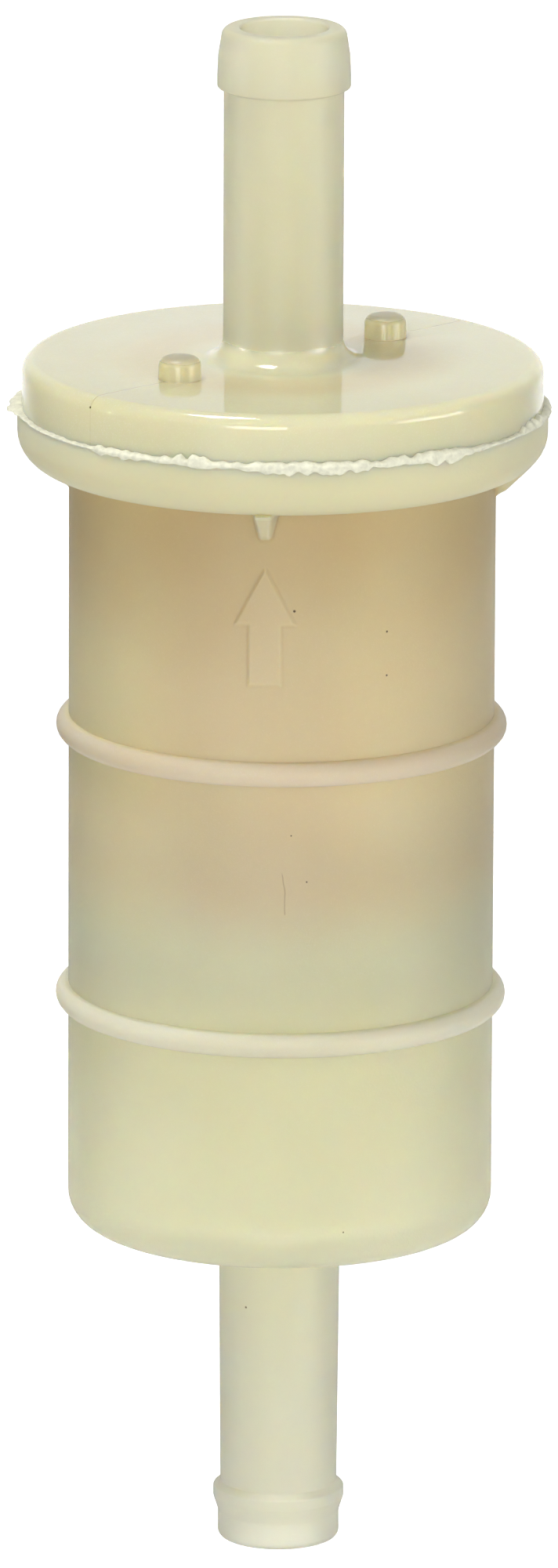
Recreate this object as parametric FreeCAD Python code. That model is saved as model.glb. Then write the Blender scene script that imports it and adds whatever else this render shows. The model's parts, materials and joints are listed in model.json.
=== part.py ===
import FreeCAD, Part
import math
import os

# Inline fuel filter with a moulded nylon casing and a pleated paper element.
# The origin is the centre of the inlet tip, +Z is the way the fuel flows, and -Y is the
# side that carries the raised flow arrow. All lengths are in millimetres.

# Hose stems
BORE_R = 2.9
STEM_R = 4.03
INLET_STEM_TIP_R = 3.95
INLET_STEM_BASE_R = 4.1
STEM_FILLET = 1.35
TIP_ROUND = 0.5

# Barbs: a crest with a short round land, a step down to the stem and a tapered nose
INLET_NOSE_R = 4.12
INLET_NOSE_Z = 2.0
INLET_CREST_R = 4.43
INLET_CREST_Z = (2.9, 3.6)
INLET_STEP_Z = 4.05
OUTLET_CREST_R = 4.47
OUTLET_STEP_Z = 100.55
OUTLET_CREST_Z = (100.8, 101.5)
OUTLET_NOSE_R = 4.42
OUTLET_NOSE_Z = 102.9
OUTLET_TIP_R = 4.15

# Bowl
BOWL_BOTTOM_Z = 22.3
BODY_R = 14.33
WALL = 1.6
BOTTOM_ROUND = 2.26
BOWL_BORE_R = BODY_R - WALL
BOWL_FLOOR_Z = BOWL_BOTTOM_Z + 1.9
FLOOR_CORNER_ROUND = 1.2
FLOOR_HOLE_ROUND = 0.5
BEAD_R = 0.84
BEAD_HEIGHTS = (38.3, 57.0)
FLANGE_Z = 75.1
FLANGE_R = 17.8
FLANGE_ROUND = 2.2
FLANGE_CORNER_ROUND = 0.3
SEAM_Z = 78.8

# Gussets under the flange: a 45 degree edge, drafted in width both upwards and outwards
RIB_COUNT = 4
RIB_Z = 73.0
RIB_FOOT = 0.3
RIB_REACH = 2.6
RIB_FOOT_WIDTH = 0.8
RIB_TOP_WIDTH = 1.9
RIB_EDGE_WIDTH = 0.9
RIB_SINK = 0.6

# Flow arrow on the bowl
ARROW_TIP_Z = 71.1
ARROW_HEAD_Z = 67.2
ARROW_TAIL_Z = 63.1
ARROW_HEAD_WIDTH = 4.1
ARROW_SHAFT_WIDTH = 2.2
ARROW_RAISE = 0.25
ARROW_SINK = 0.5

# Cap
CAP_R = 17.5
CAP_TOP_Z = 82.2
CAP_ROUND = 0.92
CAP_PLATE = 2.2
LIP_R = BOWL_BORE_R - 0.1
LIP_WALL = 0.7
LIP_DEPTH = 1.0
LIP_EDGE_ROUND = 0.2
LIP_ROOT_ROUND = 0.6
SPIGOT_R = 3.95
SPIGOT_END_Z = 73.6
SPIGOT_END_ROUND = 0.3
SPIGOT_ROOT_ROUND = 0.4
OUTLET_TIP_Z = 104.8
NUB_R = 1.43
NUB_HEIGHT = 1.55
NUB_ROUND = 0.5
NUB_CENTRE_R = 9.4
NUB_ANGLES = (47.5, 227.5)

# Weld flash squeezed out of the joint between cap and bowl
FLASH_R = 18.5
FLASH_LOW_Z = SEAM_Z - 0.6
FLASH_HIGH_Z = SEAM_Z + 0.8
FLASH_TAPER = 0.3
FLASH_ROUND = 0.3

# Filter element
ELEMENT_BOTTOM_Z = 44.7
PLATE_R = 10.0
PLATE_THICK = 0.8
SKIRT_WALL = 0.5
SKIRT_DEPTH = 1.2
PLATE_EDGE_ROUND = 0.4
SKIRT_EDGE_ROUND = 0.15
UPPER_PLATE_Z = 76.4
GLUE_THICK = 0.6
PLEATS = 24
PLEAT_OUT_R = 9.2
PLEAT_IN_R = 5.0
PAPER = 0.4
OUTER_FOLD_R = 0.45
INNER_FOLD_R = 0.36
SEAM_GLUE_DEPTH = 1.6
SEAM_ANGLE = 90
CORE_OUT_R = 4.75
CORE_IN_R = 4.15
CORE_HOLE_R = 1.1
CORE_HOLE_ROWS = 8
CORE_HOLE_LINES = 3
NECK_IN_R = 5.4
NECK_WALL = 0.6
NECK_HEIGHT = 2.0
NECK_ROOT_ROUND = 0.2
NECK_EDGE_ROUND = 0.15
SPIGOT_GAP = 0.1
SEAL_HEIGHT = 1.5
SEAL_ROUND = 0.3

PAPER_LOW_Z = ELEMENT_BOTTOM_Z + PLATE_THICK + GLUE_THICK
PAPER_HIGH_Z = UPPER_PLATE_Z - GLUE_THICK
GLUE_R = PLATE_R - SKIRT_WALL
FULL_TURN = 360.0

AXIS_POINT = FreeCAD.Vector(0, 0, 0)
UP = FreeCAD.Vector(0, 0, 1)


def rounded_wire(corners):
    """Closed outline in the XZ plane from (radius, height, corner round) points."""
    points = [FreeCAD.Vector(r, 0, z) for r, z, _ in corners]
    starts, ends, middles = [], [], []
    for i, (_, _, round_r) in enumerate(corners):
        here = points[i]
        back = (points[i - 1] - here).normalize()
        ahead = (points[(i + 1) % len(points)] - here).normalize()
        half = back.getAngle(ahead) / 2
        trim = round_r / math.tan(half)
        middle = (back + ahead).normalize() * (round_r / math.sin(half) - round_r)
        starts.append(here + back * trim)
        ends.append(here + ahead * trim)
        middles.append(here + middle)
    edges = []
    for i, (_, _, round_r) in enumerate(corners):
        if round_r > 0:
            edges.append(Part.Arc(starts[i], middles[i], ends[i]).toShape())
        edges.append(Part.LineSegment(ends[i], starts[(i + 1) % len(points)]).toShape())
    return Part.Wire(edges)


def turned(corners):
    """Solid of revolution about the filter's axis."""
    return Part.Face(rounded_wire(corners)).revolve(AXIS_POINT, UP, FULL_TURN)


def ring(inner_r, outer_r, low_z, high_z):
    """Plain ring; an inner radius of 0 makes a disc."""
    solid = Part.makeCylinder(outer_r, high_z - low_z, FreeCAD.Vector(0, 0, low_z))
    if inner_r > 0:
        solid = solid.cut(Part.makeCylinder(inner_r, high_z - low_z, FreeCAD.Vector(0, 0, low_z)))
    return solid


def bowl_shell():
    """Inlet stem with its barb, cup and welding flange as one turned wall."""
    return turned([
        (BORE_R, 0, 0),
        (INLET_NOSE_R, 0, TIP_ROUND),
        (INLET_NOSE_R, INLET_NOSE_Z, 0),
        (INLET_CREST_R, INLET_CREST_Z[0], 0),
        (INLET_CREST_R, INLET_CREST_Z[1], 0),
        (INLET_STEM_TIP_R, INLET_STEP_Z, 0),
        (INLET_STEM_BASE_R, BOWL_BOTTOM_Z, STEM_FILLET),
        (BODY_R, BOWL_BOTTOM_Z, BOTTOM_ROUND),
        (BODY_R, FLANGE_Z, FLANGE_CORNER_ROUND),
        (FLANGE_R, FLANGE_Z, FLANGE_ROUND),
        (FLANGE_R, SEAM_Z, 0),
        (BOWL_BORE_R, SEAM_Z, 0),
        (BOWL_BORE_R, BOWL_FLOOR_Z, FLOOR_CORNER_ROUND),
        (BORE_R, BOWL_FLOOR_Z, FLOOR_HOLE_ROUND),
    ])


def prism(points, direction):
    """Flat closed outline pushed along a direction."""
    return Part.Face(Part.makePolygon(points + points[:1])).extrude(direction)


def flange_rib(angle):
    """Small gusset between the cup wall and the underside of the flange."""
    root_r = BODY_R - RIB_SINK
    edge_r = BODY_R + RIB_REACH
    top_z = FLANGE_Z + RIB_SINK
    slope_top_z = RIB_Z + RIB_REACH - RIB_FOOT
    wide = FreeCAD.Vector(0, RIB_TOP_WIDTH, 0)
    side = prism([
        FreeCAD.Vector(root_r, 0, RIB_Z) - wide / 2,
        FreeCAD.Vector(BODY_R + RIB_FOOT, 0, RIB_Z) - wide / 2,
        FreeCAD.Vector(edge_r, 0, slope_top_z) - wide / 2,
        FreeCAD.Vector(edge_r, 0, top_z) - wide / 2,
        FreeCAD.Vector(root_r, 0, top_z) - wide / 2,
    ], wide)
    front = prism([
        FreeCAD.Vector(root_r, -RIB_FOOT_WIDTH / 2, RIB_Z),
        FreeCAD.Vector(root_r, RIB_FOOT_WIDTH / 2, RIB_Z),
        FreeCAD.Vector(root_r, RIB_TOP_WIDTH / 2, top_z),
        FreeCAD.Vector(root_r, -RIB_TOP_WIDTH / 2, top_z),
    ], FreeCAD.Vector(edge_r - root_r, 0, 0))
    plan = prism([
        FreeCAD.Vector(root_r, -RIB_TOP_WIDTH / 2, RIB_Z),
        FreeCAD.Vector(edge_r, -RIB_EDGE_WIDTH / 2, RIB_Z),
        FreeCAD.Vector(edge_r, RIB_EDGE_WIDTH / 2, RIB_Z),
        FreeCAD.Vector(root_r, RIB_TOP_WIDTH / 2, RIB_Z),
    ], FreeCAD.Vector(0, 0, top_z - RIB_Z))
    rib = side.common(front).common(plan)
    rib.rotate(AXIS_POINT, UP, angle)
    return rib


def flow_arrow():
    """Raised arrow on the front of the cup, pointing towards the outlet."""
    half_head = ARROW_HEAD_WIDTH / 2
    half_shaft = ARROW_SHAFT_WIDTH / 2
    outline = [
        (0, ARROW_TIP_Z),
        (half_head, ARROW_HEAD_Z),
        (half_shaft, ARROW_HEAD_Z),
        (half_shaft, ARROW_TAIL_Z),
        (-half_shaft, ARROW_TAIL_Z),
        (-half_shaft, ARROW_HEAD_Z),
        (-half_head, ARROW_HEAD_Z),
    ]
    outside = [FreeCAD.Vector(x, -BODY_R - 1, z) for x, z in outline]
    skin = ring(BODY_R - ARROW_SINK, BODY_R + ARROW_RAISE, ARROW_TAIL_Z, ARROW_TIP_Z)
    return prism(outside, FreeCAD.Vector(0, BODY_R, 0)).common(skin)


def bowl():
    solid = bowl_shell()
    for z in BEAD_HEIGHTS:
        solid = solid.fuse(Part.makeTorus(BODY_R, BEAD_R, FreeCAD.Vector(0, 0, z)))
    for i in range(RIB_COUNT):
        solid = solid.fuse(flange_rib(-90 + i * FULL_TURN / RIB_COUNT))
    solid = solid.fuse(flow_arrow())
    return solid.removeSplitter()


def nub(angle):
    """Short round post on the cap."""
    turn = math.radians(angle)
    centre = FreeCAD.Vector(NUB_CENTRE_R * math.cos(turn), NUB_CENTRE_R * math.sin(turn), CAP_TOP_Z)
    sink = UP * CAP_PLATE / 4
    post = Part.makeCylinder(NUB_R, NUB_HEIGHT + sink.Length, centre - sink)
    top = [e for e in post.Edges if e.BoundBox.ZMin > CAP_TOP_Z + NUB_HEIGHT / 2]
    return post.makeFillet(NUB_ROUND, top)


def cap():
    """Cap plate with its outlet stem, locating lip and the spigot that the element fits on."""
    lip_in_r = LIP_R - LIP_WALL
    under_z = CAP_TOP_Z - CAP_PLATE
    solid = turned([
        (BORE_R, SPIGOT_END_Z, 0),
        (SPIGOT_R, SPIGOT_END_Z, SPIGOT_END_ROUND),
        (SPIGOT_R, under_z, SPIGOT_ROOT_ROUND),
        (lip_in_r, under_z, LIP_ROOT_ROUND),
        (lip_in_r, SEAM_Z - LIP_DEPTH, 0),
        (LIP_R, SEAM_Z - LIP_DEPTH, LIP_EDGE_ROUND),
        (LIP_R, SEAM_Z, 0),
        (CAP_R, SEAM_Z, 0),
        (CAP_R, CAP_TOP_Z, CAP_ROUND),
        (STEM_R, CAP_TOP_Z, STEM_FILLET),
        (STEM_R, OUTLET_STEP_Z, 0),
        (OUTLET_CREST_R, OUTLET_CREST_Z[0], 0),
        (OUTLET_CREST_R, OUTLET_CREST_Z[1], 0),
        (OUTLET_NOSE_R, OUTLET_NOSE_Z, 0),
        (OUTLET_TIP_R, OUTLET_TIP_Z, TIP_ROUND),
        (BORE_R, OUTLET_TIP_Z, 0),
    ])
    for angle in NUB_ANGLES:
        solid = solid.fuse(nub(angle))
    return solid.removeSplitter()


def weld_flash():
    """Bead of melt pressed out all round the welded joint."""
    return turned([
        (CAP_R, SEAM_Z, 0),
        (FLANGE_R, SEAM_Z, 0),
        (FLANGE_R, FLASH_LOW_Z, 0),
        (FLASH_R, FLASH_LOW_Z + FLASH_TAPER, FLASH_ROUND),
        (FLASH_R, FLASH_HIGH_Z - FLASH_TAPER, FLASH_ROUND),
        (CAP_R, FLASH_HIGH_Z, 0),
    ])


def polar(radius, angle):
    return FreeCAD.Vector(radius * math.cos(angle), radius * math.sin(angle), 0)


class Pleat:
    """One fold out and one fold in: centres of both folds and the normal of the leg between."""

    def __init__(self):
        self.half_pitch = math.pi / PLEATS
        self.outer_centre_r = PLEAT_OUT_R - PAPER / 2 - OUTER_FOLD_R
        self.inner_centre_r = PLEAT_IN_R + PAPER / 2 + INNER_FOLD_R
        run = polar(self.inner_centre_r, self.half_pitch) - polar(self.outer_centre_r, 0)
        lean = math.acos((OUTER_FOLD_R + INNER_FOLD_R) / run.Length)
        self.normal_angle = math.atan2(run.y, run.x) - lean


def pleat_outline(offset, height_z):
    """Closed line of folds and legs, offset outwards or inwards from the paper's middle."""
    pleat = Pleat()
    outer_r = OUTER_FOLD_R + offset
    inner_r = INNER_FOLD_R - offset
    lift = FreeCAD.Vector(0, 0, height_z)
    edges = []
    for k in range(PLEATS):
        turn = 2 * k * pleat.half_pitch
        outer_centre = polar(pleat.outer_centre_r, turn) + lift
        leg = turn + pleat.normal_angle
        leg_back = turn - pleat.normal_angle
        valley = turn + pleat.half_pitch
        inner_centre = polar(pleat.inner_centre_r, valley) + lift
        next_leg = 2 * valley - leg
        out_start = outer_centre + polar(outer_r, leg_back)
        out_end = outer_centre + polar(outer_r, leg)
        in_start = inner_centre - polar(inner_r, leg)
        in_end = inner_centre - polar(inner_r, next_leg)
        next_out = polar(pleat.outer_centre_r, turn + 2 * pleat.half_pitch) + lift
        next_start = next_out + polar(outer_r, next_leg)
        edges.append(Part.Arc(out_start, outer_centre + polar(outer_r, turn), out_end).toShape())
        edges.append(Part.LineSegment(out_end, in_start).toShape())
        edges.append(Part.Arc(in_start, inner_centre - polar(inner_r, valley), in_end).toShape())
        edges.append(Part.LineSegment(in_end, next_start).toShape())
    return Part.Wire(edges)


def pleated_paper():
    length = UP * (PAPER_HIGH_Z - PAPER_LOW_Z)
    outside = Part.Face(pleat_outline(PAPER / 2, PAPER_LOW_Z)).extrude(length)
    inside = Part.Face(pleat_outline(-PAPER / 2, PAPER_LOW_Z)).extrude(length)
    return outside.cut(inside)


def paper_seam_glue():
    """Line of glue in the fold at +Y where the two ends of the paper strip meet."""
    pleat = Pleat()
    low = UP * PAPER_LOW_Z
    glue_r = OUTER_FOLD_R - PAPER / 2
    centre = polar(pleat.outer_centre_r, 0) + low
    leg_start = centre + polar(glue_r, pleat.normal_angle)
    other_start = centre + polar(glue_r, -pleat.normal_angle)
    along = polar(SEAM_GLUE_DEPTH, pleat.normal_angle + math.pi / 2)
    along_other = polar(SEAM_GLUE_DEPTH, -pleat.normal_angle - math.pi / 2)
    outline = Part.Wire([
        Part.Arc(other_start, centre + polar(glue_r, 0), leg_start).toShape(),
        Part.LineSegment(leg_start, leg_start + along).toShape(),
        Part.LineSegment(leg_start + along, other_start + along_other).toShape(),
        Part.LineSegment(other_start + along_other, other_start).toShape(),
    ])
    glue = Part.Face(outline).extrude(UP * (PAPER_HIGH_Z - PAPER_LOW_Z))
    glue.rotate(AXIS_POINT, UP, SEAM_ANGLE)
    return glue


def core_tube():
    """Perforated support tube inside the pleats."""
    tube = ring(CORE_IN_R, CORE_OUT_R, PAPER_LOW_Z, PAPER_HIGH_Z)
    row_pitch = (PAPER_HIGH_Z - PAPER_LOW_Z) / CORE_HOLE_ROWS
    for row in range(CORE_HOLE_ROWS):
        z = PAPER_LOW_Z + (row + 0.5) * row_pitch
        for line in range(CORE_HOLE_LINES):
            angle = line * math.pi / CORE_HOLE_LINES + (row % 2) * math.pi / (2 * CORE_HOLE_LINES)
            across = polar(1, angle)
            start = UP * z - across * 2 * CORE_OUT_R
            tube = tube.cut(Part.makeCylinder(CORE_HOLE_R, 4 * CORE_OUT_R, start, across))
    return tube


def upper_end_plate():
    """Open end plate with a skirt round the pleats and a neck that holds the seal."""
    hole_r = SPIGOT_R + SPIGOT_GAP
    top_z = UPPER_PLATE_Z + PLATE_THICK
    neck_out_r = NECK_IN_R + NECK_WALL
    return turned([
        (hole_r, UPPER_PLATE_Z, 0),
        (GLUE_R, UPPER_PLATE_Z, 0),
        (GLUE_R, UPPER_PLATE_Z - SKIRT_DEPTH, 0),
        (PLATE_R, UPPER_PLATE_Z - SKIRT_DEPTH, SKIRT_EDGE_ROUND),
        (PLATE_R, top_z, PLATE_EDGE_ROUND),
        (neck_out_r, top_z, NECK_ROOT_ROUND),
        (neck_out_r, top_z + NECK_HEIGHT, NECK_EDGE_ROUND),
        (NECK_IN_R, top_z + NECK_HEIGHT, NECK_EDGE_ROUND),
        (NECK_IN_R, top_z, 0),
        (hole_r, top_z, 0),
    ])


def lower_end_plate():
    """Closed end plate with an upturned skirt round the pleats."""
    top_z = ELEMENT_BOTTOM_Z + PLATE_THICK
    return turned([
        (0, ELEMENT_BOTTOM_Z, 0),
        (PLATE_R, ELEMENT_BOTTOM_Z, PLATE_EDGE_ROUND),
        (PLATE_R, top_z + SKIRT_DEPTH, SKIRT_EDGE_ROUND),
        (GLUE_R, top_z + SKIRT_DEPTH, 0),
        (GLUE_R, top_z, 0),
        (0, top_z, 0),
    ])


def upper_glue_ring():
    return ring(CORE_IN_R, GLUE_R, PAPER_HIGH_Z, UPPER_PLATE_Z)


def lower_glue_disc():
    return ring(0, GLUE_R, ELEMENT_BOTTOM_Z + PLATE_THICK, PAPER_LOW_Z)


def spigot_seal():
    """Rubber ring squeezed between the cap's spigot and the neck of the upper end plate."""
    low_z = UPPER_PLATE_Z + PLATE_THICK
    return turned([
        (SPIGOT_R, low_z, SEAL_ROUND),
        (NECK_IN_R, low_z, SEAL_ROUND),
        (NECK_IN_R, low_z + SEAL_HEIGHT, SEAL_ROUND),
        (SPIGOT_R, low_z + SEAL_HEIGHT, SEAL_ROUND),
    ])


NODES = {
    "bowl": bowl,
    "cap": cap,
    "weld_flash": weld_flash,
    "pleated_paper": pleated_paper,
    "paper_seam_glue": paper_seam_glue,
    "core_tube": core_tube,
    "upper_end_plate": upper_end_plate,
    "lower_end_plate": lower_end_plate,
    "upper_glue_ring": upper_glue_ring,
    "lower_glue_disc": lower_glue_disc,
    "spigot_seal": spigot_seal,
}

os.makedirs("parts", exist_ok=True)
for name, make in NODES.items():
    shape = make()
    shape.exportStep("parts/" + name + ".step")
    box = shape.BoundBox
    print(f"{name}: {len(shape.Solids)} solid, valid {shape.isValid()}, volume {shape.Volume:.1f} mm3,"
          f" z {box.ZMin:.2f} to {box.ZMax:.2f}, width {box.XLength:.2f}")
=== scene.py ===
import json
import math

import bmesh
import bpy
import numpy as np
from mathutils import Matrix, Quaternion, Vector, noise


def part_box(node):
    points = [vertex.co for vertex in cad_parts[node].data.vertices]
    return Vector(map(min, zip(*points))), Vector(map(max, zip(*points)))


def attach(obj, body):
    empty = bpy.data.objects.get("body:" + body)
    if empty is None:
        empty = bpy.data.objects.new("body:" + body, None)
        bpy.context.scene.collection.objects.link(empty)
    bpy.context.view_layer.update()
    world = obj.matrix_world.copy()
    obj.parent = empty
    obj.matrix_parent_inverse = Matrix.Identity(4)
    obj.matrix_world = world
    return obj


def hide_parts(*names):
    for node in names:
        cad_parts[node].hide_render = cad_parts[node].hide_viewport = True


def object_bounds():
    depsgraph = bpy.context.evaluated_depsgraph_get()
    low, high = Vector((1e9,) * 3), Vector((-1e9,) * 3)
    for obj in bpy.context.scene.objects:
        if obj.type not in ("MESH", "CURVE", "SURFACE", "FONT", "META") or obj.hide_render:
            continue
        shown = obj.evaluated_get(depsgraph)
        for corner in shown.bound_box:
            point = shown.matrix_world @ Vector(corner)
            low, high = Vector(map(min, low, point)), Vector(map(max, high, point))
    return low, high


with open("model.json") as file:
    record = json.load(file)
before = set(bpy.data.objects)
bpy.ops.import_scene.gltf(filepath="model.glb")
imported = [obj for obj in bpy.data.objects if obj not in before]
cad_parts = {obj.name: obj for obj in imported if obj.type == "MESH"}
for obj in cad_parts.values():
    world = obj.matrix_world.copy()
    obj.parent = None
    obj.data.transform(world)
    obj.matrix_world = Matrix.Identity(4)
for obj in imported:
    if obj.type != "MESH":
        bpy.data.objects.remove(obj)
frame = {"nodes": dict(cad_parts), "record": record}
cad_low, cad_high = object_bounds()

# ---------------------------------------------------------------- sizes, in metres
MM = 0.001
mounts = {m["name"]: m for m in frame["record"]["mounts"]}


def mount_radius(name):
    return mounts[name]["dims"]["r_mm"] * MM


def mount_span(name):
    """Lowest and highest point of a mount's wall along the axis."""
    m = mounts[name]
    centre = m["pos_m"][2]
    half = m["dims"]["length_mm"] * MM / 2
    return centre - half, centre + half


bowl_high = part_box("bowl")[1]
cap_low, cap_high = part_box("cap")
flash_low, flash_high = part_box("weld_flash")
paper_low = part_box("pleated_paper")[0]

BORE_R = mount_radius("inlet_bore")
BODY_R = mount_radius("band_seat")
BAND_LOW, BAND_HIGH = mount_span("band_seat")
INLET_CREST_R = mount_radius("inlet_barb")
INLET_CREST_LOW, INLET_CREST_HIGH = mount_span("inlet_barb")
OUTLET_CREST_R = mount_radius("outlet_barb")
OUTLET_CREST_LOW, OUTLET_CREST_HIGH = mount_span("outlet_barb")
OUTLET_STEM_R = mount_radius("outlet_stem")
OUTLET_TIP_Z = cap_high.z
SPIGOT_END_Z = cap_low.z
SEAM_Z = bowl_high.z
FLANGE_R = bowl_high.x
CAP_R = cap_high.x

INLET_NOSE_R = 4.11 * MM
INLET_NOSE_HEIGHT = 1.9 * MM
OUTLET_TIP_R = 4.12 * MM
OUTLET_NOSE_R = 4.42 * MM
OUTLET_NOSE_DROP = 1.4 * MM
BARB_STEP = 0.4 * MM
INLET_STEM_TIP_R = 3.95 * MM
INLET_STEM_BASE_R = 4.1 * MM
BOWL_BOTTOM_Z = 22.3 * MM
BOWL_FLOOR_Z = BOWL_BOTTOM_Z + 1.9 * MM
WALL = 1.6 * MM
BOTTOM_ROUND = 2.26 * MM
BEAD_R = 0.84 * MM
BEAD_HEIGHTS = (BAND_LOW - BEAD_R, BAND_HIGH + BEAD_R)
FLANGE_Z = 75.1 * MM
FLANGE_ROUND = 2.2 * MM
RIB_ANGLES = (-90, 0, 90, 180)
RIB_LOW_Z = 73.0 * MM
RIB_FOOT = 0.3 * MM
RIB_REACH = 2.6 * MM

ARROW_TIP_Z = 71.1 * MM
ARROW_HEAD_Z = 67.2 * MM
ARROW_TAIL_Z = 63.1 * MM
ARROW_HEAD_HALF = 2.05 * MM
ARROW_SHAFT_HALF = 1.1 * MM
ARROW_RAISE = 0.16 * MM
ARROW_MARGIN = 0.6 * MM

CAP_TOP_Z = 82.2 * MM
CAP_UNDER_Z = 80.0 * MM
CAP_ROUND = 0.92 * MM
STEM_FILLET = 1.45 * MM
LIP_R = BODY_R - WALL - 0.1 * MM
LIP_WALL = 0.7 * MM
LIP_DEPTH = 1.0 * MM
SPIGOT_R = 3.95 * MM
NUB_R = 1.43 * MM
NUB_TAPER = 0.03 * MM
NUB_DOME = 0.05 * MM
NUB_ROOT = 0.8 * MM
NUB_HEIGHT = 1.55 * MM
NUB_CENTRE_R = 9.4 * MM
NUB_ANGLES = (47.5, 227.5)


# ---------------------------------------------------------------- mesh helpers
SHARP_DEGREES = 40


def rounded_outline(corners, turn_step=math.radians(11)):
    """Points of a closed (radius, height) outline whose corners are (radius, height, round)."""
    points = []
    for i, (r, z, round_r) in enumerate(corners):
        here = np.array((r, z))
        before = np.array(corners[i - 1][:2])
        after = np.array(corners[(i + 1) % len(corners)][:2])
        if round_r <= 0:
            points.append(here)
            continue
        back = (before - here) / np.linalg.norm(before - here)
        ahead = (after - here) / np.linalg.norm(after - here)
        half = math.acos(np.clip(back @ ahead, -1, 1)) / 2
        trim = round_r / math.tan(half)
        middle = back + ahead
        centre = here + middle / np.linalg.norm(middle) * round_r / math.sin(half)
        start = here + back * trim - centre
        sweep = math.pi - 2 * half
        side = np.sign(back[1] * ahead[0] - back[0] * ahead[1])
        steps = max(2, math.ceil(sweep / turn_step))
        for k in range(steps + 1):
            a = side * sweep * k / steps
            points.append(centre + np.array((
                start[0] * math.cos(a) - start[1] * math.sin(a),
                start[0] * math.sin(a) + start[1] * math.cos(a),
            )))
    return points


def subdivided(points, low_z, high_z, step):
    """The outline with its upright stretches between two heights cut into short steps."""
    out = []
    for i, p in enumerate(points):
        out.append(p)
        q = points[(i + 1) % len(points)]
        inside = low_z - step <= min(p[1], q[1]) and max(p[1], q[1]) <= high_z + step
        count = int(abs(q[1] - p[1]) / step) if inside else 0
        out.extend(p + (q - p) * k / count for k in range(1, count))
    return out


def column_angles(coarse, bands):
    """Angles round the axis in radians. bands are (centre, half width, step) with finer steps, in degrees."""
    angles = []
    a = 0.0
    while a < 360 - 1e-6:
        angles.append(math.radians(a))
        step = coarse
        for centre, half, fine in bands:
            gap = abs((a - centre + 180) % 360 - 180)
            if gap <= half:
                step = min(step, fine)
            elif gap <= half + coarse:
                step = min(step, coarse / 3)
        a += step
    return np.array(angles)


def lathe_mesh(name, outline, angles, shape=None):
    """Closed mesh swept round the axis. shape changes the points' (angle, radius, height) arrays first."""
    profile = np.array(outline)
    rows, columns = len(profile), len(angles)
    turn = np.repeat(angles, rows)
    radius = np.tile(profile[:, 0], columns)
    height = np.tile(profile[:, 1], columns)
    if shape is not None:
        radius, height = shape(turn, radius, height)
    verts = np.stack((radius * np.cos(turn), radius * np.sin(turn), height), 1)
    faces = []
    for c in range(columns):
        d = (c + 1) % columns
        for r in range(rows):
            s = (r + 1) % rows
            faces.append((c * rows + r, d * rows + r, d * rows + s, c * rows + s))
    mesh = bpy.data.meshes.new(name)
    mesh.from_pydata(verts.tolist(), [], faces)
    return mesh


def finished(name, mesh, sharp_degrees=SHARP_DEGREES):
    """Object with smooth shading, outward normals and sharp edges above an angle."""
    bm = bmesh.new()
    bm.from_mesh(mesh)
    bmesh.ops.remove_doubles(bm, verts=bm.verts, dist=1e-7)
    bmesh.ops.recalc_face_normals(bm, faces=bm.faces)
    bm.to_mesh(mesh)
    bm.free()
    mesh.shade_smooth()
    mesh.set_sharp_from_angle(angle=math.radians(sharp_degrees))
    obj = bpy.data.objects.new(name, mesh)
    bpy.context.scene.collection.objects.link(obj)
    return obj


def smooth_step(low, high, x):
    t = np.clip((x - low) / (high - low), 0, 1)
    return t * t * (3 - 2 * t)


# ---------------------------------------------------------------- node helpers
class Tree:
    """Short calls for building a node tree."""

    def __init__(self, tree):
        self.tree = tree

    def add(self, kind, **values):
        node = self.tree.nodes.new(kind)
        for key, value in values.items():
            setattr(node, key, value)
        return node

    def link(self, source, socket):
        self.tree.links.new(source, socket)

    def put(self, socket, value):
        """Links a socket, or sets a plain value."""
        if isinstance(value, bpy.types.NodeSocket):
            self.link(value, socket)
        else:
            socket.default_value = value

    def math(self, operation, a, b=0.0):
        node = self.add("ShaderNodeMath", operation=operation)
        self.put(node.inputs[0], a)
        self.put(node.inputs[1], b)
        return node.outputs[0]

    def span(self, value, low, high, to_low=0.0, to_high=1.0):
        """Smoothly maps one range onto another."""
        node = self.add("ShaderNodeMapRange", interpolation_type="SMOOTHSTEP")
        for socket, number in zip(node.inputs[1:5], (low, high, to_low, to_high)):
            socket.default_value = number
        self.put(node.inputs[0], value)
        return node.outputs[0]


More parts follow.
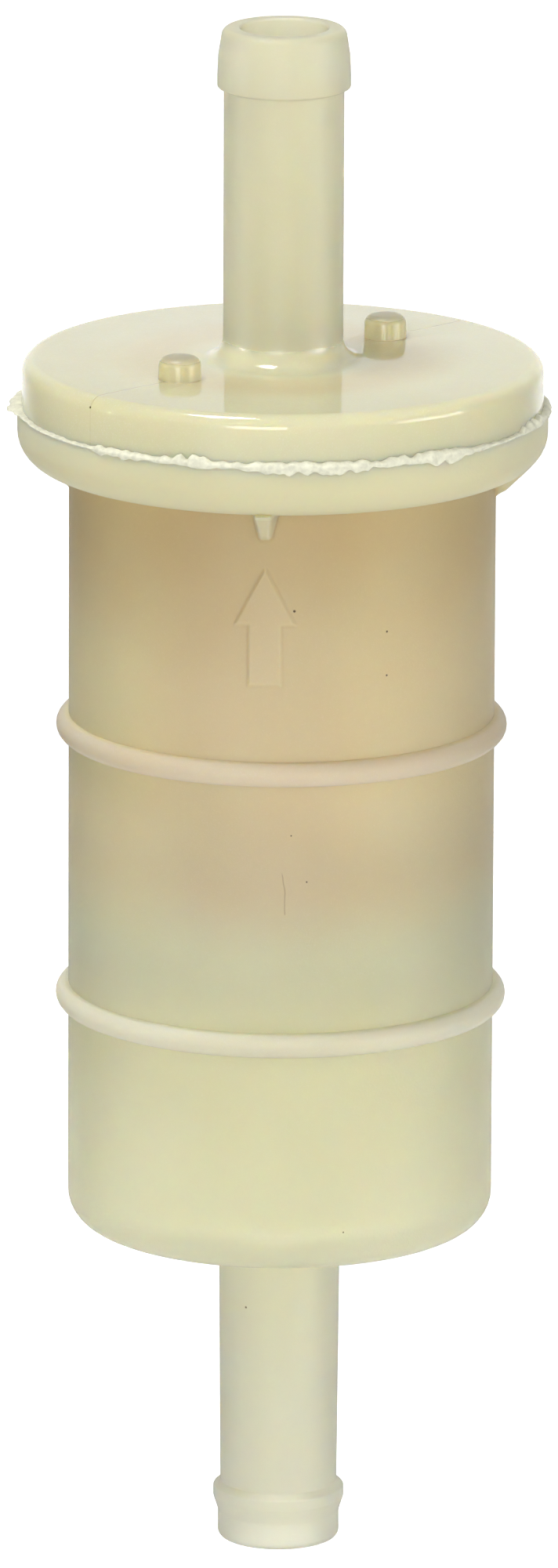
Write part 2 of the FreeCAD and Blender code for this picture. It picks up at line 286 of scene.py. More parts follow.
class Nodes(Tree):
    """The node tree of one material."""

    def __init__(self, name):
        self.material = bpy.data.materials.new(name)
        self.material.use_nodes = True
        super().__init__(self.material.node_tree)
        self.tree.nodes.clear()
        self.out = self.add("ShaderNodeOutputMaterial")
        self.coords = self.add("ShaderNodeTexCoord").outputs["Object"]

    def noise(self, size, detail=2.0, roughness=0.5):
        """Noise between 0 and 1 with features about size metres across."""
        mapping = self.add("ShaderNodeMapping")
        mapping.inputs["Scale"].default_value = [1 / size] * 3
        self.link(self.coords, mapping.inputs["Vector"])
        node = self.add("ShaderNodeTexNoise")
        node.inputs["Scale"].default_value = 1.0
        node.inputs["Detail"].default_value = detail
        node.inputs["Roughness"].default_value = roughness
        self.link(mapping.outputs[0], node.inputs["Vector"])
        return node.outputs["Fac"]

    def mix(self, amount, a, b, blend="MIX"):
        node = self.add("ShaderNodeMix", data_type="RGBA", blend_type=blend)
        self.put(node.inputs[0], amount)
        self.put(node.inputs[6], a if isinstance(a, bpy.types.NodeSocket) else (*a, 1.0))
        self.put(node.inputs[7], b if isinstance(b, bpy.types.NodeSocket) else (*b, 1.0))
        return node.outputs[2]

    def bump(self, height, distance, strength=1.0, under=None):
        node = self.add("ShaderNodeBump")
        node.inputs["Strength"].default_value = strength
        node.inputs["Distance"].default_value = distance
        self.put(node.inputs["Height"], height)
        if under is not None:
            self.link(under, node.inputs["Normal"])
        return node.outputs[0]

    def shaded(self, amount, colour, shade):
        """The colour multiplied by a shade, as far as amount goes."""
        return self.mix(amount, colour, self.mix(1.0, colour, shade, "MULTIPLY"))

    def axes(self):
        node = self.add("ShaderNodeSeparateXYZ")
        self.link(self.coords, node.inputs[0])
        return node.outputs[:3]

    def radius(self, x, y):
        """Distance from the filter's axis."""
        squares = self.math("ADD", self.math("POWER", x, 2.0), self.math("POWER", y, 2.0))
        return self.math("POWER", squares, 0.5)

    def surface(self, colour, roughness, normal=None, links=None, **constants):
        """The Principled shader. constants are set on its own sockets, by name with _ for a space."""
        shader = self.add("ShaderNodeBsdfPrincipled")
        self.put(shader.inputs["Base Color"], colour)
        self.put(shader.inputs["Roughness"], roughness)
        if normal is not None:
            self.link(normal, shader.inputs["Normal"])
        for key, value in constants.items():
            shader.inputs[key.replace("_", " ")].default_value = value
        for key, value in (links or {}).items():
            self.put(shader.inputs[key], value)
        self.link(shader.outputs[0], self.out.inputs["Surface"])
        return self.material


# ---------------------------------------------------------------- materials
BOWL_TINT = (0.86, 0.845, 0.59)
CAP_TINT = (0.85, 0.825, 0.55)
FLANGE_TINT = (0.84, 0.80, 0.52)
RIB_TINT = (0.74, 0.67, 0.46)
# Painted light: the bowl's wall is made paler towards the bottom, standing in for light from below.
BOTTOM_PAINTED_LIGHT = (0.95, 0.94, 0.71)
STEM_TINT = (0.82, 0.815, 0.725)
FINE_TINT = (0.9, 0.87, 0.66)
GRAIN_TINT = (0.93, 0.91, 0.76)
SCRATCH_TINT = (0.33, 0.22, 0.10)
KNIT_TINT = (0.45, 0.33, 0.16)
SPECK_TINT = (0.08, 0.05, 0.02)

# Shades are multiplied into the colour that is already there.
DEEP_SHADE = (0.965, 0.955, 0.91)
# Painted: the paper's pink seen through the wall, with painted shade where the paper keeps back the light
# from behind.
PAPER_TINT_AND_PAINTED_SHADE = (1.0, 0.875, 0.79)
LOW_BAND_SHADE = (0.91, 0.92, 0.965)
# Painted light: paler flanks where, seen from the front, light comes past the paper's edges.
FLANK_PAINTED_LIGHT = (1.12, 1.15, 1.12)
LOW_BEAD_SHADE = (0.83, 0.82, 0.91)
HIGH_BEAD_SHADE = (0.98, 0.94, 1.08)
# Painted shade under the flange, with the brown upper glue seen through the wall.
UNDER_FLANGE_SHADE_AND_GLUE = (0.84, 0.78, 0.65)
PLATE_SHADE = (0.97, 0.90, 0.84)
NUB_SHADE = (0.86, 0.83, 0.76)

BOWL_ROUGH = 0.5
STEM_ROUGH = 0.45
PLATE_ROUGH = 0.02
OPEN_CLEAR = 0.62
PAPER_CLEAR = 0.38
PLATE_CLEAR = 0.35
THICK_CLEAR = 0.3
PAPER_FADE = (paper_low.z - 6 * MM, paper_low.z + 2 * MM)
OPEN_SOAK = 1.5 * MM
PAPER_SOAK = 0.6 * MM
CAP_SOAK = 1.0 * MM

# Dark specks moulded into the wall: angle round the axis in degrees, height and size in millimetres.
SPECKS = [
    (-82.2, 68.2, 0.16), (-56.3, 66.4, 0.13), (-56.3, 63.4, 0.12), (-82.8, 52.8, 0.09), (-78.6, 49.6, 0.10),
    (-68.1, 25.2, 0.10), (-119.0, 17.0, 0.16), (-132.5, 81.5, 0.15), (38.0, 47.0, 0.12), (121.0, 61.0, 0.14),
]
SCRATCH_TURN = math.radians(-84.7)
SCRATCH_LOW_Z = 47.4 * MM
SCRATCH_HIGH_Z = 50.0 * MM


def distance_to(n, point):
    node = n.add("ShaderNodeVectorMath", operation="DISTANCE")
    n.link(n.coords, node.inputs[0])
    node.inputs[1].default_value = point
    return node.outputs["Value"]


def speck_mask(n):
    """1 inside any of the specks and 0 outside."""
    total = 0.0
    for angle, z, size in SPECKS:
        turn = math.radians(angle)
        outer = BODY_R if z * MM > BOWL_BOTTOM_Z else INLET_STEM_BASE_R
        outer = CAP_R if z * MM > SEAM_Z else outer
        point = (outer * math.cos(turn), outer * math.sin(turn), z * MM)
        spot = n.span(distance_to(n, point), size * MM * 0.35, size * MM * 0.75, 1.0, 0.0)
        total = n.math("MAXIMUM", spot, total)
    return total


def mottled(n, tint, z):
    """Natural nylon with blotches and grain, paler towards both ends of the casing."""
    blotch = n.span(n.noise(9 * MM, detail=3.0), 0.3, 0.7)
    fine = n.span(n.noise(0.5 * MM, detail=2.0), 0.25, 0.75, 0.0, 0.12)
    grain = n.span(n.noise(0.11 * MM, detail=1.0), 0.55, 0.75, 0.0, 0.35)
    deep = tuple(c * k for c, k in zip(tint, DEEP_SHADE))
    colour = n.mix(blotch, tint, deep)
    colour = n.mix(fine, colour, FINE_TINT)
    colour = n.mix(grain, colour, GRAIN_TINT)
    inlet = n.span(z, 0.0, paper_low.z + 3 * MM, 0.8, 0.1)
    outlet = n.math(
        "MINIMUM",
        n.span(z, CAP_TOP_Z, CAP_TOP_Z + 3 * MM),
        n.span(z, CAP_TOP_Z + 3 * MM, OUTLET_TIP_Z, 0.4, 0.55),
    )
    return n.mix(n.math("MAXIMUM", inlet, outlet), colour, STEM_TINT)


def moulded_rough(n, base):
    return n.span(n.noise(2.5 * MM, detail=3.0), 0.2, 0.8, base, base + 0.1)


def nylon(n, colour, rough, texture, clear, soak, gloss):
    """The casing's shader. clear is how much light passes through, soak how far it spreads inside."""
    return n.surface(
        n.mix(speck_mask(n), colour, SPECK_TINT), rough, texture,
        links={"Transmission Weight": clear, "Subsurface Scale": soak},
        IOR=1.53,
        Subsurface_Weight=1.0,
        Subsurface_Radius=(1.0, 0.8, 0.45),
        Specular_IOR_Level=gloss,
    )


def scratch_mask(n, x, y, z):
    """1 along the fine crooked scratch at the front of the wall."""
    lean = n.math("MULTIPLY", n.math("SUBTRACT", n.noise(3 * MM), 0.5), 1.6 * MM)
    aside = n.math("ADD", lean, n.math(
        "ADD",
        n.math("MULTIPLY", x, -math.sin(SCRATCH_TURN)),
        n.math("MULTIPLY", y, math.cos(SCRATCH_TURN)),
    ))
    along = n.math(
        "MULTIPLY",
        n.span(z, SCRATCH_LOW_Z - 0.1 * MM, SCRATCH_LOW_Z),
        n.span(z, SCRATCH_HIGH_Z, SCRATCH_HIGH_Z + 0.3 * MM, 1.0, 0.0),
    )
    front = n.math("MULTIPLY", along, n.math("LESS_THAN", y, 0.0))
    return n.math("MULTIPLY", front, n.span(n.math("ABSOLUTE", aside), 0.02 * MM, 0.07 * MM, 1.0, 0.0))


def wall_colour(n, colour, axes, radius, wall, thick):
    """The bowl's colour: pinkish where the paper is behind the wall, with painted shade there, yellow in the
    thick flange, painted shade under the flange and painted light at the flanks and towards the bottom.
    """
    x, y, z = axes
    low = paper_low.z
    bead = n.math("MULTIPLY", thick, n.math("LESS_THAN", z, RIB_LOW_Z))
    above_beads = n.math("MULTIPLY", thick, n.math("GREATER_THAN", z, RIB_LOW_Z))
    backed = n.math("MULTIPLY", wall, n.span(z, *PAPER_FADE))

    # Painted: the paper's pink seen through the wall, together with painted shade where the paper keeps back
    # the light from behind.
    paper_tint_and_shade = n.math("ADD", wall, n.math("MULTIPLY", bead, 0.55))
    paper_tint_and_shade = n.math("MULTIPLY", paper_tint_and_shade, n.span(z, low - 3 * MM, low + 3.5 * MM))
    paper_tint_and_shade = n.math("MULTIPLY", paper_tint_and_shade, n.span(n.noise(11 * MM, detail=2.0), 0.3, 0.7, 0.8, 1.12))
    colour = n.shaded(paper_tint_and_shade, colour, PAPER_TINT_AND_PAINTED_SHADE)

    low_band = n.math(
        "MULTIPLY",
        n.span(z, low - 8 * MM, low - 4 * MM),
        n.span(z, low + 3 * MM, low + 10 * MM, 1.0, 0.0),
    )
    colour = n.shaded(n.math("MULTIPLY", low_band, wall), colour, LOW_BAND_SHADE)

    # Painted light: seen from the front, the wall is made paler where it runs past the paper's edges, most at
    # the left.
    flank_light = n.math(
        "MAXIMUM",
        n.span(x, -10.5 * MM, -3.5 * MM, 1.0, 0.0),
        n.span(x, 3 * MM, 7.5 * MM, 0.0, 0.55),
    )
    colour = n.shaded(n.math("MULTIPLY", flank_light, backed), colour, FLANK_PAINTED_LIGHT)

    bead_shade = n.mix(n.math("LESS_THAN", z, low + 2 * MM), HIGH_BEAD_SHADE, LOW_BEAD_SHADE)
    colour = n.shaded(bead, colour, bead_shade)

    # Painted light: the wall is paler towards the bottom, where light from below falls.
    bottom_light = n.span(z, BOWL_BOTTOM_Z + 2 * MM, BOWL_BOTTOM_Z + 13 * MM, 0.7, 0.0)
    bottom_light = n.math("MULTIPLY", wall, bottom_light)
    bottom_light = n.math("MULTIPLY", bottom_light, n.math("GREATER_THAN", radius, 6 * MM))
    colour = n.mix(bottom_light, colour, BOTTOM_PAINTED_LIGHT)

    # Painted shade under the flange, together with the brown upper glue seen through the wall.
    glue = n.math("MULTIPLY", wall, n.span(z, FLANGE_Z - 14 * MM, FLANGE_Z))
    colour = n.shaded(glue, colour, UNDER_FLANGE_SHADE_AND_GLUE)

    colour = n.mix(n.math("MULTIPLY", above_beads, 0.8), colour, FLANGE_TINT)
    rib = n.math("MULTIPLY", above_beads, n.math("LESS_THAN", z, FLANGE_Z - 0.2 * MM))
    colour = n.mix(n.math("MULTIPLY", rib, 0.7), colour, RIB_TINT)
    return n.mix(n.math("MULTIPLY", scratch_mask(n, x, y, z), 0.5), colour, SCRATCH_TINT)


def bowl_nylon():
    n = Nodes("nylon_bowl")
    x, y, z = n.axes()
    radius = n.radius(x, y)
    thick = n.span(radius, BODY_R + 0.05 * MM, BODY_R + 0.5 * MM)
    wall = n.math("SUBTRACT", 1.0, thick)
    colour = wall_colour(n, mottled(n, BOWL_TINT, z), (x, y, z), radius, wall, thick)
    hollow = n.span(z, *PAPER_FADE, OPEN_CLEAR, PAPER_CLEAR)
    clear = n.math("ADD", n.math("MULTIPLY", wall, hollow), n.math("MULTIPLY", thick, THICK_CLEAR))
    backed = n.math("MULTIPLY", wall, n.span(z, *PAPER_FADE))
    soak = n.span(backed, 0.0, 1.0, OPEN_SOAK, PAPER_SOAK)
    texture = n.bump(n.noise(0.16 * MM, detail=3.0, roughness=0.7), 0.012 * MM)
    return nylon(n, colour, moulded_rough(n, BOWL_ROUGH), texture, clear, soak, 0.35)


def knit_line(n, x, y, radius):
    """1 along the faint line where the melt met, across the plate from nub to nub."""
    turn = math.radians(NUB_ANGLES[0])
    wobble = n.math("MULTIPLY", n.math("SUBTRACT", n.noise(5 * MM), 0.5), 0.3 * MM)
    across = n.math(
        "SUBTRACT",
        n.math("MULTIPLY", x, math.sin(turn)),
        n.math("MULTIPLY", y, math.cos(turn)),
    )
    gap = n.math("ABSOLUTE", n.math("ADD", across, wobble))
    line = n.span(gap, 0.02 * MM, 0.10 * MM, 1.0, 0.0)
    return n.math("MULTIPLY", line, n.span(radius, 7 * MM, 9 * MM))


def cap_nylon():
    """Polished plate and matt stem, with the element's colour faint in the plate."""
    n = Nodes("nylon_cap")
    x, y, z = n.axes()
    radius = n.radius(x, y)
    plate = n.span(z, CAP_TOP_Z + 0.6 * MM, CAP_TOP_Z + 2.0 * MM, 1.0, 0.0)
    flat = n.math("LESS_THAN", z, CAP_TOP_Z + 0.05 * MM)
    colour = mottled(n, CAP_TINT, z)

    inner = n.math("MULTIPLY", plate, n.span(radius, 9 * MM, 13 * MM, 1.0, 0.0))
    inner = n.math("MULTIPLY", inner, n.span(radius, 5.5 * MM, 7.5 * MM))
    colour = n.shaded(n.math("MULTIPLY", inner, flat), colour, PLATE_SHADE)
    nub = n.math("MULTIPLY", n.math("SUBTRACT", 1.0, flat), n.math("GREATER_THAN", radius, 7 * MM))
    colour = n.shaded(nub, colour, NUB_SHADE)

    line = n.math("MULTIPLY", n.math("MULTIPLY", plate, knit_line(n, x, y, radius)), flat)
    line = n.math("MULTIPLY", line, n.span(z, CAP_TOP_Z - CAP_ROUND, CAP_TOP_Z - 0.2 * MM, 0.25, 1.0))
    colour = n.mix(n.math("MULTIPLY", line, 0.28), colour, KNIT_TINT)
    texture = n.bump(line, -0.02 * MM, under=n.bump(n.noise(0.3 * MM, detail=2.0), 0.0012 * MM))
    rough = n.math("MULTIPLY", plate, PLATE_ROUGH - STEM_ROUGH)
    rough = n.math("ADD", rough, moulded_rough(n, STEM_ROUGH))
    clear = n.span(plate, 0.0, 1.0, OPEN_CLEAR, PLATE_CLEAR)
    return nylon(n, colour, rough, texture, clear, CAP_SOAK, 0.5)


def plain(name, colour, rough, size=1.2 * MM):
    """Moulded plastic, glue or rubber with slight mottling."""
    n = Nodes(name)
    dark = tuple(c * 0.82 for c in colour)
    tint = n.mix(n.span(n.noise(size, detail=3.0), 0.3, 0.7), colour, dark)
    roughness = n.span(n.noise(size * 2, detail=2.0), 0.2, 0.8, rough, rough + 0.15)
    return n.surface(tint, roughness, n.bump(n.noise(size / 4, detail=2.0), 0.02 * MM))


def filter_paper():
    n = Nodes("filter_paper")
    fibre = n.noise(0.35 * MM, detail=5.0, roughness=0.7)
    colour = n.mix(n.span(fibre, 0.3, 0.7), (0.93, 0.75, 0.67), (0.88, 0.68, 0.59))
    return n.surface(colour, 0.8, n.bump(fibre, 0.05 * MM))


# ---------------------------------------------------------------- bowl
def arrow_distance(x, z):
    """Signed distance from the arrow's outline, negative inside."""
    corners = np.array([
        (0, ARROW_TIP_Z),
        (ARROW_HEAD_HALF, ARROW_HEAD_Z),
        (ARROW_SHAFT_HALF, ARROW_HEAD_Z),
        (ARROW_SHAFT_HALF, ARROW_TAIL_Z),
        (-ARROW_SHAFT_HALF, ARROW_TAIL_Z),
        (-ARROW_SHAFT_HALF, ARROW_HEAD_Z),
        (-ARROW_HEAD_HALF, ARROW_HEAD_Z),
    ])
    nearest = np.full(x.shape, 1.0)
    inside = np.zeros(x.shape, bool)
    for (ax, az), (bx, bz) in zip(corners, np.roll(corners, -1, axis=0)):
        ex, ez = bx - ax, bz - az
        t = np.clip(((x - ax) * ex + (z - az) * ez) / (ex * ex + ez * ez), 0, 1)
        nearest = np.minimum(nearest, np.hypot(x - ax - t * ex, z - az - t * ez))
        crosses = (az > z) != (bz > z)
        slope_x = ax + (z - az) * ex / np.where(ez == 0, 1, ez)
        inside ^= crosses & (x < slope_x)
    return np.where(inside, -nearest, nearest)


def bowl_shape(turn, radius, height):
    """Adds the flow arrow and the ribs under the flange to the turned wall."""
    outside = radius > BODY_R - 0.1 * MM
    around = (turn + math.pi / 2 + math.pi) % (2 * math.pi) - math.pi
    wall = outside & (height > BAND_HIGH + 2 * BEAD_R) & (height < FLANGE_Z + 0.05 * MM)
    arrow = arrow_distance(around * BODY_R, height)
    raise_by = ARROW_RAISE * (1 - smooth_step(-0.12 * MM, 0.12 * MM, arrow))
    out = np.where(wall, radius + raise_by, radius)
    for angle in RIB_ANGLES:
        gap = np.abs((turn - math.radians(angle) + math.pi) % (2 * math.pi) - math.pi) * BODY_R
        above = height - RIB_LOW_Z
        reach = np.clip(RIB_FOOT + above, 0, RIB_REACH) * smooth_step(-0.2 * MM, 0.5 * MM, above)
        half_width = (0.5 + 0.5 * np.clip(above / (FLANGE_Z - RIB_LOW_Z), 0, 1)) * MM
        flat = 1 - smooth_step(0.35, 1.0, gap / half_width)
        out = np.where(wall, np.maximum(out, BODY_R + reach * flat), out)
    return out, height


def make_bowl():
    """Inlet stem and barb, cup with two beads, flow arrow, ribs and flange, turned as one outline."""
    bead_corners = []
    for z in BEAD_HEIGHTS:
        for a in np.linspace(-math.pi / 2, math.pi / 2, 13):
            bead_corners.append((BODY_R + BEAD_R * math.cos(a), z + BEAD_R * math.sin(a), 0))
    corners = [
        (BORE_R, 0, 0.15 * MM),
        (INLET_NOSE_R, 0, 0.5 * MM),
        (INLET_NOSE_R, INLET_NOSE_HEIGHT, 0.8 * MM),
        (INLET_CREST_R, INLET_CREST_LOW, 0.25 * MM),
        (INLET_CREST_R, INLET_CREST_HIGH, 0.2 * MM),
        (INLET_STEM_TIP_R, INLET_CREST_HIGH + BARB_STEP, 0.12 * MM),
        (INLET_STEM_BASE_R, BOWL_BOTTOM_Z, STEM_FILLET),
        (BODY_R, BOWL_BOTTOM_Z, BOTTOM_ROUND),
        *bead_corners,
        (BODY_R, ARROW_TAIL_Z - ARROW_MARGIN, 0),
        (BODY_R, FLANGE_Z, 0.25 * MM),
        (FLANGE_R, FLANGE_Z, FLANGE_ROUND),
        (FLANGE_R, SEAM_Z, 0.1 * MM),
        (BODY_R - WALL, SEAM_Z, 0),
        (BODY_R - WALL, BOWL_FLOOR_Z, 1.2 * MM),
        (BORE_R, BOWL_FLOOR_Z, 0.5 * MM),
    ]
    outline = subdivided(rounded_outline(corners), ARROW_TAIL_Z - ARROW_MARGIN, FLANGE_Z, 0.12 * MM)
    bands = [(270, 10, 0.35), *((angle, 5.5, 0.5) for angle in RIB_ANGLES)]
    mesh = lathe_mesh("bowl_moulding", outline, column_angles(2.5, bands), bowl_shape)
    return finished("bowl_moulding", mesh)


# ---------------------------------------------------------------- cap
def nub_object(angle):
    corners = [
        (0, CAP_TOP_Z - NUB_ROOT, 0),
        (NUB_R + NUB_TAPER, CAP_TOP_Z - NUB_ROOT, 0),
        (NUB_R - NUB_TAPER, CAP_TOP_Z + NUB_HEIGHT - NUB_DOME, 0.6 * MM),
        (0, CAP_TOP_Z + NUB_HEIGHT, 0),
    ]
    angles = column_angles(8, [])
    obj = finished("nub", lathe_mesh("nub", rounded_outline(corners), angles))
    turn = math.radians(angle)
    obj.location = (NUB_CENTRE_R * math.cos(turn), NUB_CENTRE_R * math.sin(turn), 0)
    return obj


def union(obj, other):
    """Adds other to obj with an exact boolean and removes other."""
    bpy.context.view_layer.update()
    modifier = obj.modifiers.new("union", "BOOLEAN")
    modifier.operation = "UNION"
    modifier.solver = "EXACT"
    modifier.object = other
    evaluated = obj.evaluated_get(bpy.context.evaluated_depsgraph_get())
    merged = bpy.data.meshes.new_from_object(evaluated)
    obj.modifiers.remove(modifier)
    obj.data = merged
    bpy.data.objects.remove(other)


def make_cap():
    """Plate, outlet stem and barb, locating lip and spigot, turned as one outline, with two nubs."""
    corners = [
        (BORE_R, SPIGOT_END_Z, 0),
        (SPIGOT_R, SPIGOT_END_Z, 0.3 * MM),
        (SPIGOT_R, CAP_UNDER_Z, 0.4 * MM),
        (LIP_R - LIP_WALL, CAP_UNDER_Z, 0.6 * MM),
        (LIP_R - LIP_WALL, SEAM_Z - LIP_DEPTH, 0),
        (LIP_R, SEAM_Z - LIP_DEPTH, 0.2 * MM),
        (LIP_R, SEAM_Z, 0),
        (CAP_R, SEAM_Z, 0.1 * MM),
        (CAP_R, CAP_TOP_Z, CAP_ROUND),
        (OUTLET_STEM_R, CAP_TOP_Z, STEM_FILLET),
        (OUTLET_STEM_R, OUTLET_CREST_LOW - 0.2 * MM, 0.12 * MM),
        (OUTLET_CREST_R, OUTLET_CREST_LOW, 0.14 * MM),
        (OUTLET_CREST_R, OUTLET_CREST_HIGH, 0.5 * MM),
        (OUTLET_NOSE_R, OUTLET_CREST_HIGH + OUTLET_NOSE_DROP, 1.2 * MM),
        (OUTLET_TIP_R, OUTLET_TIP_Z, 0.55 * MM),
        (BORE_R, OUTLET_TIP_Z, 0.2 * MM),
    ]
    mesh = lathe_mesh("cap_moulding", rounded_outline(corners), column_angles(2.0, []))
    cap = finished("cap_moulding", mesh)
    for angle in NUB_ANGLES:
        union(cap, nub_object(angle))
    cap.data.shade_smooth()
    cap.data.set_sharp_from_angle(angle=math.radians(SHARP_DEGREES))
    return cap


# ---------------------------------------------------------------- weld flash
# Angle round the axis in degrees, then how far the melt reaches down, up and out, in millimetres.
FLASH_SHAPE = [
    (-180, 0.22, 0.34, 0.50), (-172, 0.12, 0.30, 0.66), (-166, 0.07, 0.10, 0.16), (-150, 0.07, 0.10, 0.10),
    (-133, 0.08, 0.12, 0.10), (-129, 0.26, 0.26, 0.20), (-121, 0.26, 0.26, 0.20), (-116, 0.16, 0.20, 0.14),
    (-110, 0.24, 0.32, 0.20), (-106, 0.26, 0.62, 0.26), (-101, 0.22, 0.30, 0.18), (-96, 0.16, 0.22, 0.12),
    (-91, 0.34, 0.30, 0.18), (-84, 0.48, 0.34, 0.24), (-75, 0.52, 0.32, 0.26), (-67, 0.42, 0.32, 0.22),
    (-65.8, 0.14, 0.10, 0.06), (-64.8, 0.28, 0.28, 0.18), (-55, 0.28, 0.34, 0.20), (-51, 0.52, 0.40, 0.30),
    (-46, 0.54, 0.40, 0.32), (-43, 0.26, 0.30, 0.20), (-35, 0.14, 0.18, 0.12), (-24, 0.07, 0.10, 0.08),
    (-19, 0.06, 0.44, 0.16), (-11, 0.10, 0.55, 0.30), (-5, 0.12, 0.18, 0.20), (0, 0.24, 0.30, 0.26),
    (22, 0.16, 0.20, 0.16), (40, 0.36, 0.34, 0.32), (65, 0.16, 0.20, 0.16), (90, 0.34, 0.42, 0.40),
    (118, 0.18, 0.22, 0.18), (150, 0.28, 0.30, 0.28), (180, 0.22, 0.34, 0.50),
]
TEAR_FREQUENCY = 26
FRAY_FREQUENCY = 60
FLASH_ROWS = 16


def ring_noise(turn, frequency, layers):
    """Noise round the axis, one row for each angle and one column for each layer."""
    return np.array([
        [noise.noise(Vector((math.cos(t) * frequency, math.sin(t) * frequency, layer))) for layer in layers]
        for t in turn
    ])


def flash_shape(turn, radius, height):
    """Places each column's FLASH_ROWS outer points on the torn bead. The two inner ones stay."""
    table = np.array(FLASH_SHAPE)
    rise = np.linspace(-math.pi / 2, math.pi / 2, FLASH_ROWS)
    columns = turn.reshape(-1, FLASH_ROWS + 2)
    degrees = (np.degrees(columns[:, :1]) + 180) % 360 - 180
    reach = [np.interp(degrees, table[:, 0], table[:, k]) for k in (1, 2, 3)]
    tear = ring_noise(columns[:, 0], TEAR_FREQUENCY, [k * 9.0 for k in range(3)])
    fray = ring_noise(columns[:, 0], FRAY_FREQUENCY, [k * 0.3 + 40 for k in range(FLASH_ROWS)])
    down, up, out = (reach[k] * np.clip(1 + 0.9 * tear[:, k:k + 1], 0.45, 1.25) for k in range(3))
    radius = radius.reshape(-1, FLASH_ROWS + 2).copy()
    height = height.reshape(-1, FLASH_ROWS + 2).copy()
    tall = np.where(rise < 0, down, up) * MM
    body = np.where(rise < 0, FLANGE_R, CAP_R + 0.3 * MM * np.cos(rise)) - 0.06 * MM
    radius[:, 1:-1] = body + out * MM * np.cos(rise) * (1 + 0.2 * fray)
    height[:, 1:-1] = SEAM_Z + tall * np.sin(rise) * (1 + 0.12 * fray)
    radius = np.minimum(radius, flash_high.x)
    height = np.clip(height, flash_low.z, flash_high.z)
    return radius.ravel(), height.ravel()


def make_flash():
    """Ragged bead of melt along the seam, thick and torn in places and nearly gone in others."""
    inside_r = CAP_R - 0.35 * MM
    ring = [(CAP_R, SEAM_Z)] * FLASH_ROWS
    outline = [(inside_r, SEAM_Z - 0.1 * MM), *ring, (inside_r, SEAM_Z + 0.1 * MM)]
    mesh = lathe_mesh("flash", outline, column_angles(0.5, []), flash_shape)
    return finished("weld_flash_melt", mesh, 60)


# ---------------------------------------------------------------- pieces
def place(piece, material, slot, *nodes):
    """Gives a new piece its material and its body, and hides the CAD nodes it stands for."""
    piece.data.materials.clear()
    piece.data.materials.append(material)
    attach(piece, "root")
    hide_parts(*nodes)


def paint(node, material):
    """Gives a CAD node a better material."""
    obj = frame["nodes"][node]
    obj.data.materials.clear()
    obj.data.materials.append(material)


place(make_bowl(), bowl_nylon(), "nylon", "bowl")
place(make_cap(), cap_nylon(), "nylon", "cap")
place(make_flash(), plain("nylon_flash", (0.75, 0.74, 0.58), 0.4, 0.4 * MM), "nylon_flash", "weld_flash")
paint("pleated_paper", filter_paper())
paint("core_tube", plain("core_plastic", (0.62, 0.56, 0.42), 0.4))
for plate in ("upper_end_plate", "lower_end_plate"):
    paint(plate, plain("end_plate_" + plate, (0.66, 0.60, 0.44), 0.35))
for glue in ("upper_glue_ring", "lower_glue_disc", "paper_seam_glue"):
    paint(glue, plain("glue_" + glue, (0.60, 0.46, 0.24), 0.2))
paint("spigot_seal", plain("seal_rubber", (0.03, 0.03, 0.03), 0.6))


# ---------------------------------------------------------------- studio
CAMERA_AZIMUTH = 4.5
CAMERA_ELEVATION = 14.35
CAMERA_DISTANCE = 1.242
CAMERA_ROLL = 0.24
AIM_HEIGHT = 52.7 * MM
AIM_ASIDE = -0.15 * MM
VIEW_HEIGHT = 105.64 * MM
FLOOR_DROP = 0.30
FLOOR_HALF = 6.0

# Soft boxes: name, offset from the middle of the filter, width, height and power.
SOFT_BOXES = [
    ("top_box", (-0.24, -0.07, 1.0), 0.32, 0.25, 6.0),
    ("front_card", (-0.14, -1.2, 0.12), 0.55, 0.4, 4.4),
    ("right_card", (0.95, -0.30, 0.13), 0.6, 0.3, 2.5),
]

# Snooted strips at both sides: name, height of the middle, length and power.
EDGE_STRIPS = [("low_strip", 0.0170, 0.050, 0.0028), ("high_strip", 0.0935, 0.033, 0.0022)]
# Name of the side, its sign and its share of the power.
STRIP_SIDES = [("left", -1, 1.0), ("right", 1, 0.9)]
STRIP_DISTANCE = 0.12
STRIP_TURN = math.radians(12)
STRIP_WIDTH = 0.05
STRIP_SPREAD = 6

# Studio brightness by direction: from and to on the axis, then the brightness at each.
WORLD_UP = (-0.3, 0.7, 1.26, 0.72)
WORLD_SIDE = (0.3, 0.8, 1.0, 0.06)


def make_camera():
    data = bpy.data.cameras.new("camera")
    data.sensor_width = 36.0
    data.lens = data.sensor_width * CAMERA_DISTANCE / VIEW_HEIGHT
    data.clip_start = 0.05
    data.clip_end = 20.0
    camera = bpy.data.objects.new("camera", data)
    bpy.context.scene.collection.objects.link(camera)
    a, e = math.radians(CAMERA_AZIMUTH), math.radians(CAMERA_ELEVATION)
    back = Vector((math.sin(a) * math.cos(e), -math.cos(a) * math.cos(e), math.sin(e)))
    aside = Vector((math.cos(a), math.sin(a), 0))
    camera.location = Vector((0, 0, AIM_HEIGHT)) + aside * AIM_ASIDE + back * CAMERA_DISTANCE
    camera.rotation_mode = "QUATERNION"
    roll = Quaternion((0, 0, 1), math.radians(CAMERA_ROLL))
    camera.rotation_quaternion = (-back).to_track_quat("-Z", "Y") @ roll
    bpy.context.scene.camera = camera


def make_lamp(name, offset, width, height, power, spread=180):
    """Soft box at an offset from the middle of the filter, facing it or, if snooted, the axis."""
    data = bpy.data.lights.new(name, "AREA")
    data.shape = "RECTANGLE"
    data.size = width
    data.size_y = height
    data.energy = power
    data.spread = math.radians(spread)
    lamp = bpy.data.objects.new(name, data)
    bpy.context.scene.collection.objects.link(lamp)
    lamp.location = Vector((0, 0, cad_high.z / 2)) + Vector(offset)
    lamp.rotation_mode = "QUATERNION"
    facing = -Vector(offset)
    if spread < 180:
        facing.z = 0
        lamp.visible_camera = False
        lamp.visible_glossy = False
    lamp.rotation_quaternion = facing.to_track_quat("-Z", "Y")


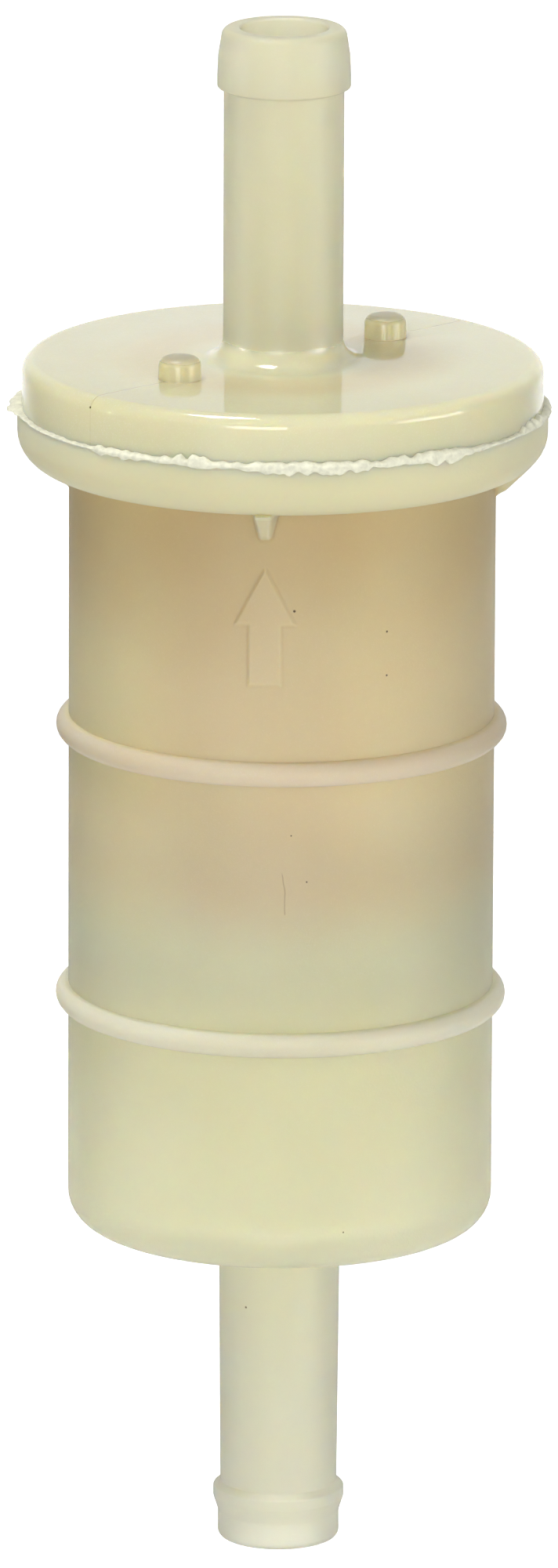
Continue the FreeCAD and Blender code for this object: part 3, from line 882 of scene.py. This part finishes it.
def make_floor():
    """Pale floor well below the filter, seen as its backdrop but not by its diffuse and mirror rays."""
    mesh = bpy.data.meshes.new("floor")
    signs = ((-1, -1), (1, -1), (1, 1), (-1, 1))
    corners = [(x * FLOOR_HALF, y * FLOOR_HALF, cad_low.z - FLOOR_DROP) for x, y in signs]
    mesh.from_pydata(corners, [], [(0, 1, 2, 3)])
    floor = bpy.data.objects.new("floor", mesh)
    bpy.context.scene.collection.objects.link(floor)
    floor.visible_diffuse = False
    floor.visible_glossy = False
    n = Nodes("floor_paper")
    colour = n.mix(n.span(n.noise(0.02), 0.3, 0.7), (0.93, 0.93, 0.93), (0.90, 0.90, 0.90))
    upper_side = n.math("SUBTRACT", 1.0, n.add("ShaderNodeNewGeometry").outputs["Backfacing"])
    mesh.materials.append(n.surface(
        colour, 0.9, n.bump(n.noise(0.001), 0.0001), {"Alpha": upper_side},
        Emission_Color=(1.0, 1.0, 1.0, 1.0), Emission_Strength=0.7))


def make_world():
    """White studio: brightest from below, dimmer above and dark at both sides, like black flags."""
    world = bpy.data.worlds.new("studio")
    world.use_nodes = True
    n = Tree(world.node_tree)
    split = n.add("ShaderNodeSeparateXYZ")
    n.link(n.add("ShaderNodeTexCoord").outputs["Generated"], split.inputs[0])
    upward = n.span(split.outputs[2], *WORLD_UP)
    aside = n.span(n.math("ABSOLUTE", split.outputs[0]), *WORLD_SIDE)
    background = world.node_tree.nodes["Background"]
    background.inputs["Color"].default_value = (1.0, 1.0, 1.0, 1.0)
    n.link(n.math("MULTIPLY", upward, aside), background.inputs["Strength"])
    bpy.context.scene.world = world


make_camera()
for soft_box in SOFT_BOXES:
    make_lamp(*soft_box)
for strip, middle, height, power in EDGE_STRIPS:
    for side, sign, share in STRIP_SIDES:
        aside = STRIP_DISTANCE * math.cos(STRIP_TURN) * sign
        offset = (aside, -STRIP_DISTANCE * math.sin(STRIP_TURN), middle - cad_high.z / 2)
        make_lamp(f"{side}_{strip}", offset, STRIP_WIDTH, height, power * share, STRIP_SPREAD)
make_floor()
make_world()
scene = bpy.context.scene
scene.view_settings.view_transform = "Standard"
scene.cycles.use_denoising = True
